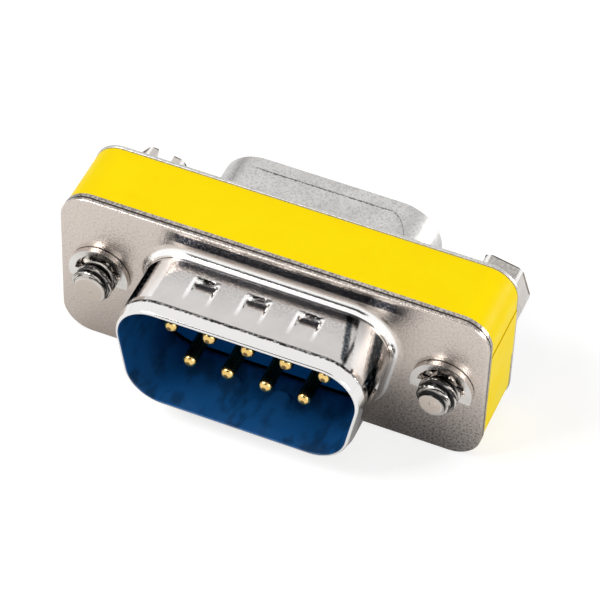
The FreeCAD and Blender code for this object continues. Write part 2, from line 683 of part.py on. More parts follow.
def retaining_ring(label, side, turn):
    """An open ring that snaps into the screw's groove with three prongs, open at the bottom."""
    body = new_body(label)
    front = -(dim("ring_gauge") + dim("axial_play"))
    gauge = dim("ring_gauge")
    outline = facing_sketch(body, "disc_outline", front)
    circle(outline, dim("ring_radius"))
    pad(body, "disc", outline, gauge)
    outline = facing_sketch(body, "window_outline", front - OVERCUT)
    circle(outline, dim("ring_radius") - dim("ring_rim"))
    pocket(body, "window", outline, gauge + 2 * OVERCUT)
    reach = dim("ring_radius") - dim("ring_rim") / 2
    half = dim("ring_prong") / 2
    for number, degrees in enumerate((90, -8, 188), start=1):
        across, along = math.cos(math.radians(degrees)), math.sin(math.radians(degrees))
        start = dim("neck_radius") / 2
        outline = facing_sketch(body, "prong_%d_outline" % number, front)
        polygon(outline, [(start * across + half * along, start * along - half * across),
                          (reach * across + half * along, reach * along - half * across),
                          (reach * across - half * along, reach * along + half * across),
                          (start * across - half * along, start * along + half * across)])
        feature = body.newObject("PartDesign::Pad", "prong_%d" % number)
        feature.Profile = outline
        bind(feature, "Length", gauge)
        feature.Reversed = True
        feature.AllowMultiFace = True
        feature.Refine = True
        finish_feature(body, feature)
    outline = facing_sketch(body, "bore_outline", front - OVERCUT)
    circle(outline, dim("neck_radius") + dim("running_gap"))
    pocket(body, "bore", outline, gauge + 2 * OVERCUT)
    outline = facing_sketch(body, "cut_outline", front - OVERCUT)
    side_reach = dim("ring_radius") + OVERCUT
    polygon(outline, [(-side_reach, -side_reach), (side_reach, -side_reach),
                      (side_reach, -dim("ring_cut")), (-side_reach, -dim("ring_cut"))])
    pocket(body, "cut", outline, gauge + 2 * OVERCUT)
    place(body, SCREW_X * side, ZERO, ZERO, turn.number)
    return body


left_jackscrew = jackscrew("left_jackscrew", -1, dim("left_head_turn"), dim("left_slot_turn"))
right_jackscrew = jackscrew("right_jackscrew", 1, dim("right_head_turn"), dim("right_slot_turn"))
left_retaining_ring = retaining_ring("left_retaining_ring", -1, dim("left_ring_turn"))
right_retaining_ring = retaining_ring("right_retaining_ring", 1, dim("right_ring_turn"))

# Check everything, then write one file for each sub-part
PIECES = [front_shell, front_backing_plate, rear_shell, front_insulator, rear_insulator,
          spacer_body, label_band, left_jackscrew, right_jackscrew, left_retaining_ring,
          right_retaining_ring] + contacts
doc.recompute()
for item in doc.Objects:
    if "Invalid" in item.State or "Error" in item.State:
        raise RuntimeError("%s did not work out" % item.Name)
os.makedirs("parts", exist_ok=True)
for piece in PIECES:
    shape = piece.Shape
    if shape.isNull() or not shape.isValid() or len(shape.Solids) != 1:
        raise RuntimeError("%s is not one valid solid" % piece.Label)
    shape.exportStep("parts/%s.step" % piece.Label)
print("%d sub-parts written" % len(PIECES))
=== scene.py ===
import json
import math

import bmesh
import bpy
import numpy as np
from mathutils import Matrix, Vector
from mathutils.geometry import tessellate_polygon


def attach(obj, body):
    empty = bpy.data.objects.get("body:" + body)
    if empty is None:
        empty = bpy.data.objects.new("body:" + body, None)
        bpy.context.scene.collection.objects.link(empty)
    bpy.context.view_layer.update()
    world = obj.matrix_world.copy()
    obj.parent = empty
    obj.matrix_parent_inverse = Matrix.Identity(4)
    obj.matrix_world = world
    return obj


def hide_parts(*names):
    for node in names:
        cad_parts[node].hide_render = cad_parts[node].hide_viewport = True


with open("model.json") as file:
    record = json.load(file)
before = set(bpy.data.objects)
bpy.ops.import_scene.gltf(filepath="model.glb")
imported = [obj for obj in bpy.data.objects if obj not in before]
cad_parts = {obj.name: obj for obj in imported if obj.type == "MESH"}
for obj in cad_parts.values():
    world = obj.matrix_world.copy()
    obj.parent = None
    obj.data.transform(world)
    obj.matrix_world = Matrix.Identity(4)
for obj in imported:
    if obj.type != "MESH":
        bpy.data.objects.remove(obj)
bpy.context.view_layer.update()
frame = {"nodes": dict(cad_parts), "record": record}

MM = 0.001

# Sizes shared with the solids, in millimetres; an outline is width, height and corner radius
FLANGE = (30.9, 12.75, 2.2)
PLUG = (17.7, 9.0, 3.0)
SOCKET = (16.3, 7.9, 3.1)
SIDE_LEAN = 10.0
PLUG_REACH = 5.83
PLUG_GAUGE = 0.4
REAR_FACE = 5.83
SOCKET_REACH = 5.17
SOCKET_GAUGE = 0.3
FLOOR_Z = -FLANGE[1] / 2
SCREW_X = 12.495
SCREW_HOLE = 1.5
TIP = -2.02
THREAD_MAJOR = 1.42
THREAD_MINOR = 1.09
THREAD_PITCH = 0.635
GROOVE_FRONT = -0.5
NECK = 1.0
HEAD_FRONT = 5.88
HEAD_END = 10.31
HEAD_FLATS = 4.3
HEAD_END_RADIUS = HEAD_FLATS / math.sqrt(3) - 0.13
BORE = 1.12
BORE_DEPTH = 4.2
SLOT_WIDTH = 1.15
SLOT_DEPTH = 1.7
PIN_PITCH = 2.77
ROW_PITCH = 2.84
PIN_RADIUS = 0.51
PIN_TIP = -4.16
COLLAR = (3.145, 4.145)
COLLAR_RADIUS = 0.9
BARREL_RADIUS = 0.82
BARREL_END = 10.35
BARREL_BORE = 0.54
BARREL_DEPTH = 5.0

# Dents of the plug shell: side of its outline, place along that side, width
RIGHT, TOP, LEFT, BOTTOM = range(4)
DENT_PITCH = 3.72
DENT_WIDTH = 1.7
LOWER_DENT_X = 1.85
SIDE_DENT_RISE = 0.75
SIDE_DENT_WIDTH = 1.65
DENTS = [(TOP, place, DENT_WIDTH) for place in (0.0, DENT_PITCH, -DENT_PITCH)]
DENTS += [(BOTTOM, place, DENT_WIDTH) for place in (LOWER_DENT_X, -LOWER_DENT_X)]
DENTS += [(RIGHT, SIDE_DENT_RISE, SIDE_DENT_WIDTH), (LEFT, -SIDE_DENT_RISE, SIDE_DENT_WIDTH)]
DENT_DEEP_END = 1.6
DENT_RUN = 3.0
DENT_DEPTH = 0.30
DENT_CORNER = 0.6
DENT_EASE = 0.2

# Small roundings, in millimetres
FLANGE_EDGE = 0.13
SHEET_EDGE = 0.06
INNER_LIP = 0.1
DOME_HEIGHT = 0.42
HEAD_EDGE = 0.05

# Spacing of the columns along each side of an outline, from the right round to the bottom, and of
# the rows along a collar, in millimetres
FINE_STEPS, FINE_ROWS = (0.09, 0.09, 0.09, 0.12), 0.075
PLAIN_STEPS, PLAIN_ROWS = (0.5, 0.8, 0.5, 0.8), 0.6
FLANGE_STEPS = (2.0, 2.0, 2.0, 2.0)

# Bands on the plug shell: the middle and half width of each band along Y, in millimetres from the
# flange's face. The root's band is a painted highlight, the root's line and the crease are painted
# shade, and the streaks' reach spans the painted corner reflections. The mouth is at -5.83, and its
# painted highlight fades out over MOUTH_FADE.
ROOT_BAND = (-0.42, 0.3)
ROOT_LINE = (-0.6, 0.02)
CREASE = (-4.7, 0.08)
FLANGE_RIM = (0.45, 0.3)
SHEET_LINE = (0.35, 0.06)
STREAK_REACH = (-2.6, 1.75)
MOUTH_FADE = (-4.92, -4.85)

# Colours of the plating's tone, speckle and brown edge line, and of the painted reflections,
# highlights and shade on the metal
WARM_NICKEL = (0.68, 0.585, 0.515)
PITTED_AND_SHADED_NICKEL = (0.16, 0.155, 0.155)
MIRRORED_BLUE_BLACK = (0.015, 0.02, 0.035)
REFLECTION_BLACK = (0.02, 0.03, 0.04)
STREAK_SHINE = (0.03, 0.045, 0.06)
REFLECTION_WHITE = (0.98, 0.97, 0.96)
ROOT_HIGHLIGHT_WHITE = (0.97, 0.96, 0.95)
MOUTH_HIGHLIGHT_WHITE = (0.92, 0.91, 0.9)
SHEET_BROWN = (0.08, 0.065, 0.05)
DENT_HIGHLIGHT_WHITE = (1.0, 0.99, 0.98)
SHADE_LINE_BLACK = (0.01, 0.01, 0.01)
MIRRORED_BLUE = (0.005, 0.085, 0.26)
MIRRORED_DARK_BLUE = (0.002, 0.03, 0.085)

FAR = 99.0


# Surfaces
def mesh_object(name, points, faces):
    """A mesh from points in millimetres, and its object in the scene."""
    mesh = bpy.data.meshes.new(name)
    mesh.from_pydata((np.array(points) * MM).tolist(), [], faces)
    item = bpy.data.objects.new(name, mesh)
    bpy.context.scene.collection.objects.link(item)
    return item


def shade(item, angle):
    """Smooth shading, with edges sharper than the angle kept crisp."""
    item.data.shade_smooth()
    item.data.set_sharp_from_angle(angle=math.radians(angle))


def closed_surface(name, points):
    """A closed mesh from a grid of points (rows, columns, 3) in millimetres.

    The last column joins the first, and a fan to a row's mean point closes the first and last row.
    """
    rows, columns = points.shape[:2]
    index = np.arange(rows * columns).reshape(rows, columns)
    index = np.hstack([index, index[:, :1]])
    quads = np.stack([index[:-1, :-1], index[:-1, 1:], index[1:, 1:], index[1:, :-1]], axis=-1)
    faces = quads.reshape(-1, 4).tolist()
    vertices = np.vstack([points.reshape(-1, 3), points[0].mean(axis=0), points[-1].mean(axis=0)])
    first_pole, last_pole = rows * columns, rows * columns + 1
    faces += [[int(b), int(a), first_pole] for a, b in zip(index[0, :-1], index[0, 1:])]
    faces += [[int(a), int(b), last_pole] for a, b in zip(index[-1, :-1], index[-1, 1:])]
    item = mesh_object(name, vertices, faces)
    item.data.validate()
    item.data.update()
    return item


def joined_surface(name, parts):
    """One mesh from several (points, faces) parts, joined where their edges meet."""
    points, faces = [], []
    for part_points, part_faces in parts:
        start = len(points)
        points.extend(part_points)
        faces.extend([tuple(start + i for i in face) for face in part_faces])
    item = mesh_object(name, points, faces)
    work = bmesh.new()
    work.from_mesh(item.data)
    bmesh.ops.remove_doubles(work, verts=work.verts, dist=0.0008 * MM)
    work.to_mesh(item.data)
    work.free()
    item.data.update()
    return item


class Outline:
    """A rounded outline as a path of centres and outward directions.

    A point of the outline is centre + radius * direction, so every parallel outline only needs
    another radius. run counts millimetres along each straight side from its middle, and is far
    away on the corners; side tells which straight side a column is on.
    """

    def __init__(self, width, height, corner, lean, steps, corner_steps=20):
        lean = math.radians(lean)
        high = height / 2 - corner
        upper = width / 2 - corner
        lower = upper - 2 * high * math.tan(lean)
        turn = math.pi / 2
        corners = [((lower, -high), -turn, -lean), ((upper, high), -lean, turn),
                   ((-upper, high), turn, 2 * turn + lean),
                   ((-lower, -high), 2 * turn + lean, 3 * turn)]
        self.radius = corner
        centres, directions, runs, sides = [], [], [], []
        for number, (centre, start, end) in enumerate(corners):
            angles = np.linspace(start, end, corner_steps + 1)
            centres.append(np.repeat([centre], corner_steps + 1, axis=0))
            directions.append(np.stack([np.cos(angles), np.sin(angles)], axis=-1))
            runs.append(np.full(corner_steps + 1, FAR))
            sides.append(np.full(corner_steps + 1, -1))
            following = np.array(corners[(number + 1) % 4][0])
            span = np.linalg.norm(following - centre)
            count = max(1, int(round(span / steps[number])))
            share = np.linspace(0, 1, count + 1)[1:-1]
            centres.append(np.array(centre) + share[:, None] * (following - centre))
            directions.append(np.repeat(directions[-1][-1:], len(share), axis=0))
            runs.append((share - 0.5) * span)
            sides.append(np.full(len(share), number))
        self.centres = np.concatenate(centres)
        self.directions = np.concatenate(directions)
        self.run = np.concatenate(runs)
        self.side = np.concatenate(sides)

    def ring(self, offset, depth):
        """Points (x, y, z) of the outline moved outward by an offset, at y = depth."""
        flat = self.centres + (self.radius + np.reshape(offset, (-1, 1))) * self.directions
        return np.stack([flat[:, 0], np.broadcast_to(depth, len(flat)), flat[:, 1]], axis=-1)


def strip(rows, flip):
    """Faces of a closed band through rows of points, each row a ring of the same length."""
    grid = np.stack(rows)
    count, columns = grid.shape[:2]
    index = np.arange(count * columns).reshape(count, columns)
    right = np.roll(index, -1, axis=1)
    quads = np.stack([index[:-1], right[:-1], right[1:], index[1:]], axis=-1).reshape(-1, 4)
    if flip:
        quads = quads[:, ::-1]
    return grid.reshape(-1, 3).tolist(), quads.tolist()


def flat_face(outer, holes, away):
    """Triangles that fill a flat outline with holes; away is the sign of the outward Y."""
    loops = [[Vector(p) for p in loop] for loop in [outer] + holes]
    points = [list(p) for loop in loops for p in loop]
    faces = []
    for triangle in tessellate_polygon(loops):
        a, b, c = (np.array(points[i]) for i in triangle)
        normal = np.cross(b - a, c - a)
        if abs(normal[1]) < 1e-9:
            continue
        faces.append(triangle if normal[1] * away > 0 else triangle[::-1])
    return points, faces


def circle_ring(centre_x, radius, depth, count=72):
    """Points of a circle about a line along Y."""
    turn = np.linspace(0, 2 * math.pi, count, endpoint=False)
    return np.stack([centre_x + radius * np.cos(turn), np.full(count, depth),
                     radius * np.sin(turn)], axis=-1)


def arc(centre, radius, start, end, count):
    """(offset, depth) pairs on a circular arc, angles in degrees from +offset to +depth."""
    turn = np.radians(np.linspace(start, end, count))
    return list(zip(centre[0] + radius * np.cos(turn), centre[1] + radius * np.sin(turn)))


# Shells
def dent_depth(outline, reach):
    """How far the wall is pressed in at each column, at that reach in front of the flange.

    Each dent is deepest at its rear end. With left the share of its run that is left, its depth
    goes as left squared times (0.55 + 0.45 left), so it fades out towards the mouth. Its edge is
    a rounded rectangle, and the depth eases in inside that edge as s squared times (3 - 2 s).
    """
    depth = np.zeros(len(outline.run))
    for side, place, width in DENTS:
        across = np.abs(outline.run - place)
        rear = reach - DENT_DEEP_END
        over_x = np.maximum(across - (width / 2 - DENT_CORNER), 0)
        over_y = max(DENT_CORNER - rear, 0)
        inside = DENT_CORNER - np.hypot(over_x, over_y)
        share = np.clip(inside / DENT_EASE, 0, 1)
        share = share * share * (3 - 2 * share)
        left = np.clip(1 - rear / DENT_RUN, 0, 1) if rear > 0 else 0.0
        ramp = left * left * (0.55 + 0.45 * left)
        depth = np.maximum(depth, np.where(outline.side == side, share * ramp * DENT_DEPTH, 0))
    return depth


def collar_section(along, reach, gauge, root, lip, taper, bend):
    """The collar wall's section as (offset, reach, dents) triples, and the row its inside starts at.

    Offset is measured outward from the collar's outside, reach from the flange's face towards the
    mouth, and dents is 1 where the wall may be pressed in. The outside is a quarter circle at the
    root, a straight run, a lean inwards by the taper from the bend on, and a quarter circle at
    the mouth. The inside goes back the same way, the sheet's gauge further in.
    """
    outside = [(root + 0.1, 0.0, 0)]
    outside += [(o, r, 0) for o, r in arc((root, root), root, 270, 180, 9)]
    outside += [(0.0, r, 1) for r in along]
    outside += [(0.0, bend - 0.02, 0), (-taper * 0.02, bend + 0.06, 0)]
    outside += [(-taper * 0.07, bend + 0.14, 0), (-taper * 0.96, reach - lip - 0.05, 0)]
    outside += [(o, r, 0) for o, r in arc((-taper - lip, reach - lip), lip, 0, 90, 8)]
    lip_centre = (-gauge + INNER_LIP, reach - INNER_LIP)
    inside = [(o, r, 0) for o, r in arc(lip_centre, INNER_LIP, 90, 180, 5)]
    inside += [(-gauge, r, 1) for r in along[::-1]]
    inside += [(o, r, 0) for o, r in arc((root, root), root + gauge, 180, 270, 9)]
    inside += [(root + 0.1, -gauge, 0)]
    return outside + inside, len(outside)


def drawn_shell(name, face, away, size, reach, gauge, root, lip, taper, bend_run, dented):
    """A flange with a D-shaped collar, pressed from one sheet, as one closed surface.

    The collar's rings run from the flange's face over the root, along the outside, over the mouth
    and back along the inside to the flange's back. Flat faces with holes fill the two sides of
    the flange. The outside leans in by the taper, from bend_run before the mouth. The faces of the
    inner wall are marked in the attribute inner_wall.
    """
    steps, row_step = (FINE_STEPS, FINE_ROWS) if dented else (PLAIN_STEPS, PLAIN_ROWS)
    outline = Outline(*size, SIDE_LEAN, steps)
    bend = reach - bend_run
    along = np.arange(root + 0.05, bend, row_step)
    section, inner_from = collar_section(along, reach, gauge, root, lip, taper, bend)
    rows = []
    for offset, r, dents in section:
        if dented and dents:
            offset = offset - dent_depth(outline, r)
        rows.append(outline.ring(offset, face + away * r))
    parts = [strip(rows, away < 0)]

    plate = Outline(*FLANGE, 0.0, FLANGE_STEPS)
    edge = [(-FLANGE_EDGE - SHEET_EDGE, 0.0)]
    edge += arc((-FLANGE_EDGE, -FLANGE_EDGE), FLANGE_EDGE, 90, 0, 6)
    edge += arc((-SHEET_EDGE, -gauge + SHEET_EDGE), SHEET_EDGE, 0, -90, 4)
    edge += [(-2 * SHEET_EDGE, -gauge)]
    parts.append(strip([plate.ring(o, face + away * d) for o, d in edge], away > 0))
    hole = [(SCREW_HOLE + 2 * SHEET_EDGE, 0.0)]
    hole += arc((SCREW_HOLE + SHEET_EDGE, -SHEET_EDGE), SHEET_EDGE, 90, 180, 4)
    hole += [(SCREW_HOLE, -gauge)]
    holes_front, holes_back = [rows[0]], [rows[-1]]
    for side in (-1, 1):
        rings = [circle_ring(side * SCREW_X, r, face + away * d) for r, d in hole]
        parts.append(strip(rings, away < 0))
        holes_front.append(rings[0])
        holes_back.append(rings[-1])
    parts.append(flat_face(plate.ring(edge[0][0], face), holes_front, away))
    parts.append(flat_face(plate.ring(edge[-1][0], face - away * gauge), holes_back, -away))
    item = joined_surface(name, parts)
    shade(item, 38)

    columns = len(rows[0])
    inner_wall = np.zeros(len(item.data.polygons))
    inner_wall[columns * inner_from:columns * (len(rows) - 3)] = 1.0
    item.data.attributes.new("inner_wall", "FLOAT", "FACE").data.foreach_set("value", inner_wall)
    return item


# Jackscrews and contacts
def hexagon_radius(turn):
    """Distance from the centre to the head's side: half the flats over the cosine of the angle
    to the nearest flat; a corner lies at turn 0."""
    nearest = (turn % (math.pi / 3)) - math.pi / 6
    return HEAD_FLATS / 2 / np.cos(nearest)


def thread_radius(along, turn, root_at_tip, crest_at_tip):
    """Radius of a right-hand thread, from root to crest by a flattened triangle wave.

    The wave is 1.3 - 3 |phase - 0.5|, held between 0 and 1, with the phase along / pitch minus
    turn / full circle. Root and crest both grow with the distance from the tip, up to full size.
    """
    beyond = along - TIP
    phase = (beyond / THREAD_PITCH - turn / (2 * math.pi)) % 1.0
    wave = np.clip(1.3 - np.abs(phase - 0.5) * 3.0, 0.0, 1.0)
    root = min(THREAD_MINOR, root_at_tip + 0.6 * beyond)
    crest = min(THREAD_MAJOR, crest_at_tip + 0.6 * beyond)
    return root + (crest - root) * wave


def turned_points(profile, turns, axis_x, phase):
    """Points of a turned piece: each row has one radius and one height for every turn.

    x = axis_x + r cos(turn + phase), y = height, z = r sin(turn + phase).
    """
    radius = np.stack([np.broadcast_to(r, turns.shape) for r, _ in profile])
    height = np.stack([np.broadcast_to(y, turns.shape) for _, y in profile])
    angle = turns + phase
    x = axis_x + radius * np.cos(angle)
    z = radius * np.sin(angle)
    return np.stack([x, height, z], axis=-1)


def jackscrew(name, side, head_turn, valley, root_at_tip, crest_at_tip):
    """One captive screw without its prongs, as a closed turned surface.

    The rows run from the tip's centre back over the threads, the ring groove, the shank and the
    hexagon head to the slot's floor and down the bore; a row's radius may change with the turn.
    The thread's valley meets the flat tip at the turn named valley.
    """
    turns = np.linspace(0, 2 * math.pi, 144, endpoint=False)
    phase = math.radians(head_turn)
    thread_turns = turns + phase - math.radians(valley)
    floor = HEAD_END - SLOT_DEPTH
    head = hexagon_radius(turns)
    first = thread_radius(TIP, thread_turns, root_at_tip, crest_at_tip)
    # The tip: a small nub left by the cut, the flat face and its broken edge
    profile = [(0.14, TIP), (0.18, TIP), (0.24, TIP + 0.04), (first * 0.85, TIP + 0.05),
               (first - 0.03, TIP + 0.06)]
    for along in np.arange(TIP + 0.08, GROOVE_FRONT - 0.015, 0.02):
        profile.append((thread_radius(along, thread_turns, root_at_tip, crest_at_tip), along))
    # The ring groove and the shank
    profile += [(THREAD_MINOR, GROOVE_FRONT - 0.01), (NECK, GROOVE_FRONT), (NECK, 0.0),
                (THREAD_MAJOR, 0.02), (THREAD_MAJOR, HEAD_FRONT - 0.01)]
    # The head, up to the slot's floor
    profile += [(1.7, HEAD_FRONT), (head * 0.93, HEAD_FRONT), (head, HEAD_FRONT + 0.1),
                (head, HEAD_FRONT + 0.16), (head, floor - 0.02), (head, floor),
                (head - 0.01, floor)]
    # The bore and the cone at its bottom
    profile += [(BORE + 0.02, floor), (BORE, floor - 0.02), (BORE, HEAD_END - BORE_DEPTH),
                (0.05, HEAD_END - BORE_DEPTH - 0.6)]
    item = closed_surface(name, turned_points(profile, turns, side * SCREW_X, phase))
    shade(item, 32)
    return item


def slot_edge(shift, sign):
    """Turn from the slot's direction to where its wall meets the hexagon's side, by halving."""
    low, high = 0.0, 0.6
    for _ in range(50):
        middle = (low + high) / 2
        across = hexagon_radius(shift + sign * middle) * math.sin(middle)
        low, high = (middle, high) if across < SLOT_WIDTH / 2 else (low, middle)
    return low + 0.004


def prong(name, side, head_turn, slot_turn, half):
    """One of the two prongs that the slot leaves at the head's end, as a closed surface.

    Each column is one turn from the slot's edge to its other edge; its loop runs up the inner
    wall (slot side or bore), out over the flat end and the 45 degree chamfer, and down the
    hexagon's side.
    """
    phase = math.radians(slot_turn) + math.pi * half
    shift = phase - math.radians(head_turn)
    first, last = slot_edge(shift, 1), math.pi - slot_edge(shift + math.pi, -1)
    corners = (np.arange(7) * math.pi / 3 - shift) % (2 * math.pi)
    bore_edge = math.asin(SLOT_WIDTH / 2 / BORE)
    turns = np.concatenate([np.linspace(first, last, 90), corners,
                            [bore_edge, math.pi - bore_edge]])
    turns = np.unique(np.round(turns[(turns >= first) & (turns <= last)], 5))
    inner = np.maximum(BORE, SLOT_WIDTH / 2 / np.sin(turns))
    outer = hexagon_radius(turns + shift)
    floor = np.full_like(turns, HEAD_END - SLOT_DEPTH - 0.03)
    mid = np.clip(HEAD_END_RADIUS, inner + 0.001, outer - 0.001)
    inner_end, mid_end, outer_end = [HEAD_END - np.maximum(0, r - HEAD_END_RADIUS)
                                     for r in (inner, mid, outer)]
    soft = HEAD_EDGE
    profile = [
        (inner, floor), (inner, inner_end - soft), (inner + soft * 0.5, inner_end),
        (mid - soft, mid_end), (mid + soft * 0.8, mid_end - soft * 0.5),
        (outer - soft * 0.4, outer_end + soft * 0.2), (outer, outer_end - soft), (outer, floor),
    ]
    points = turned_points(profile, turns, side * SCREW_X, phase)
    item = closed_surface(name, points.transpose(1, 0, 2)[:, ::-1])
    shade(item, 30)
    return item


def contact(name, centre_x, centre_z):
    """One contact as a closed turned surface: a pin with a domed tip, its collar and its barrel.

    The dome is half an ellipse: radius r cos(a), height tip + dome height times (1 - sin(a)).
    """
    turns = np.linspace(0, 2 * math.pi, 40, endpoint=False)
    rise = np.radians(np.linspace(80, 0, 9))
    profile = [(PIN_RADIUS * math.cos(a), PIN_TIP + DOME_HEIGHT * (1 - math.sin(a))) for a in rise]
    bevel, mouth = 0.02, 0.08
    profile += [(PIN_RADIUS, COLLAR[0]), (COLLAR_RADIUS - bevel, COLLAR[0]),
                (COLLAR_RADIUS, COLLAR[0] + bevel), (COLLAR_RADIUS, COLLAR[1] - bevel),
                (COLLAR_RADIUS - bevel, COLLAR[1]), (BARREL_RADIUS, COLLAR[1]),
                (BARREL_RADIUS, BARREL_END - mouth), (BARREL_RADIUS - 0.06, BARREL_END),
                (BARREL_BORE + mouth, BARREL_END), (BARREL_BORE, BARREL_END - mouth),
                (BARREL_BORE, BARREL_END - BARREL_DEPTH), (0.06, BARREL_END - BARREL_DEPTH)]
    points = turned_points(profile, turns, centre_x, 0.0)
    points[:, :, 2] += centre_z
    item = closed_surface(name, points)
    shade(item, 35)
    return item


# Materials
class Paint:
    """A material whose nodes are added one by one; coordinates are millimetres on the part."""

    def __init__(self, name, metallic, specular=0.5):
        self.material = bpy.data.materials.new(name)
        self.material.use_nodes = True
        self.tree = self.material.node_tree
        self.shader = self.tree.nodes["Principled BSDF"]
        self.shader.inputs["Metallic"].default_value = metallic
        self.shader.inputs["Specular IOR Level"].default_value = specular
        place = self.tree.nodes.new("ShaderNodeTexCoord")
        scale = self.tree.nodes.new("ShaderNodeVectorMath")
        scale.operation = "SCALE"
        scale.inputs["Scale"].default_value = 1 / MM
        self.link(place.outputs["Object"], scale.inputs[0])
        self.place = scale.outputs[0]

    def link(self, source, target):
        self.tree.links.new(source, target)

    def stretched(self, along_x, along_y, along_z):
        """The coordinates scaled by a factor along each axis."""
        node = self.tree.nodes.new("ShaderNodeVectorMath")
        node.operation = "MULTIPLY"
        node.inputs[1].default_value = (along_x, along_y, along_z)
        self.link(self.place, node.inputs[0])
        return node.outputs[0]

    def axis(self, letter):
        """One coordinate in millimetres."""
        node = self.tree.nodes.new("ShaderNodeSeparateXYZ")
        self.link(self.place, node.inputs[0])
        return node.outputs[letter]

    def attribute(self, name):
        """A value that the mesh itself carries."""
        node = self.tree.nodes.new("ShaderNodeAttribute")
        node.attribute_name = name
        return node.outputs["Fac"]

    def noise(self, scale, detail=3.0, roughness=0.55, place=None):
        """Soft random values between 0 and 1, about scale of them to the millimetre."""
        node = self.tree.nodes.new("ShaderNodeTexNoise")
        node.inputs["Scale"].default_value = scale
        node.inputs["Detail"].default_value = detail
        node.inputs["Roughness"].default_value = roughness
        self.link(place or self.place, node.inputs["Vector"])
        return node.outputs["Fac"]

    def speckle(self):
        """The noise behind the fine grain of the plated sheets and heads."""
        return self.noise(6.0, 3.0, 0.75)

    def ragged(self):
        """The noise that frays the edges of drawn lines."""
        return self.noise(5.0, 4.0, 0.7)

    def remap(self, value, low, high, new_low, new_high):
        """A value moved from one span to another and held inside it."""
        node = self.tree.nodes.new("ShaderNodeMapRange")
        for name, number in zip(("From Min", "From Max", "To Min", "To Max"),
                                (low, high, new_low, new_high)):
            node.inputs[name].default_value = number
        self.link(value, node.inputs["Value"])
        return node.outputs["Result"]

    def rise(self, value, low, high):
        """0 up to low, 1 from high on."""
        return self.remap(value, low, high, 0.0, 1.0)

    def fall(self, value, low, high):
        """1 up to low, 0 from high on."""
        return self.remap(value, low, high, 1.0, 0.0)

    def combine(self, kind, *values):
        """The result of one Math node on numbers or sockets."""
        node = self.tree.nodes.new("ShaderNodeMath")
        node.operation = kind
        for socket, value in zip(node.inputs, values):
            if isinstance(value, (int, float)):
                socket.default_value = value
            else:
                self.link(value, socket)
        return node.outputs[0]

    def times(self, first, second):
        return self.combine("MULTIPLY", first, second)

    def plus(self, first, second):
        return self.combine("ADD", first, second)

    def minus(self, first, second):
        return self.combine("SUBTRACT", first, second)

    def larger(self, first, second):
        return self.combine("MAXIMUM", first, second)

    def absolute(self, value):
        return self.combine("ABSOLUTE", value)

    def band(self, value, middle, half_width, blur):
        """1 where the value is within half_width of the middle, 0 beyond the blur."""
        return self.fall(self.absolute(self.minus(value, middle)), half_width, half_width + blur)

    def mix(self, share, first, second):
        """One colour fading into another."""
        node = self.tree.nodes.new("ShaderNodeMix")
        node.data_type = "RGBA"
        self.link(share, node.inputs[0])
        for socket, colour in ((node.inputs[6], first), (node.inputs[7], second)):
            if isinstance(colour, tuple):
                socket.default_value = (*colour, 1.0)
            else:
                self.link(colour, socket)
        return node.outputs[2]

    def layers(self, tint, *marks):
        """A tint under marks, each a share and a colour, the last one on top."""
        for share, colour in marks:
            tint = self.mix(share, tint, colour)
        return tint

    def colour(self, source):
        self.link(source, self.shader.inputs["Base Color"])

    def roughness(self, source):
        self.link(source, self.shader.inputs["Roughness"])

    def bump(self, height, depth):
        """Relief of that depth in millimetres where the height goes from 0 to 1."""
        node = self.tree.nodes.new("ShaderNodeBump")
        node.inputs["Strength"].default_value = 1.0
        node.inputs["Distance"].default_value = depth * MM
        self.link(height, node.inputs["Height"])
        self.link(node.outputs["Normal"], self.shader.inputs["Normal"])


def plated_metal(name, light, dark, smooth, rough, grain, depth):
    """Plated sheet or turned metal: faint blotches in colour and gloss over a fine grain."""
    paint = Paint(name, 1.0)
    blotch = paint.noise(0.55, 4.0)
    fine = paint.noise(grain, 2.0, 0.6)
    paint.tint = paint.mix(paint.rise(blotch, 0.35, 0.65), light, dark)
    paint.gloss = paint.remap(paint.times(blotch, fine), 0.1, 0.45, smooth, rough)
    paint.colour(paint.tint)
    paint.roughness(paint.gloss)
    paint.bump(fine, depth)
    return paint


def dent_highlights_and_shade(paint, ragged):
    """Painted highlights on the rims and painted shade on the ragged rear edges of the three dents
    on the shell's top.

    The distance from the nearest dent's middle is |(x + pitch / 2) mod pitch - pitch / 2|.
    """
    half = DENT_WIDTH / 2
    shown = paint.rise(paint.axis("Z"), 3.9, 4.0)
    across = paint.plus(paint.axis("X"), paint.times(ragged, 0.16))
    shown = paint.times(shown, paint.fall(paint.absolute(across), 5.0, 5.1))
    folded = paint.absolute(paint.combine("WRAP", across, -DENT_PITCH / 2, DENT_PITCH / 2))
    along = paint.plus(paint.axis("Y"), paint.times(ragged, 0.5))
    # Painted highlights along the dents' sides and rear rims
    side_highlights = paint.times(paint.band(folded, half, 0.07, 0.12), paint.rise(along, -3.7, -2.9))
    side_highlights = paint.times(side_highlights, paint.fall(along, -1.6, -1.5))
    rear_highlight = paint.times(paint.band(along, -1.72, 0.05, 0.1),
                           paint.fall(folded, half, half + 0.1))
    bright = paint.larger(side_highlights, rear_highlight)
    # Painted shade along the dents' rear edges
    dark = paint.times(paint.band(along, -1.45, 0.05, 0.04),
                       paint.fall(folded, half - 0.1, half + 0.1))
    dark = paint.times(dark, paint.rise(ragged, 0.36, 0.46))
    return paint.times(bright, shown), paint.times(dark, shown)


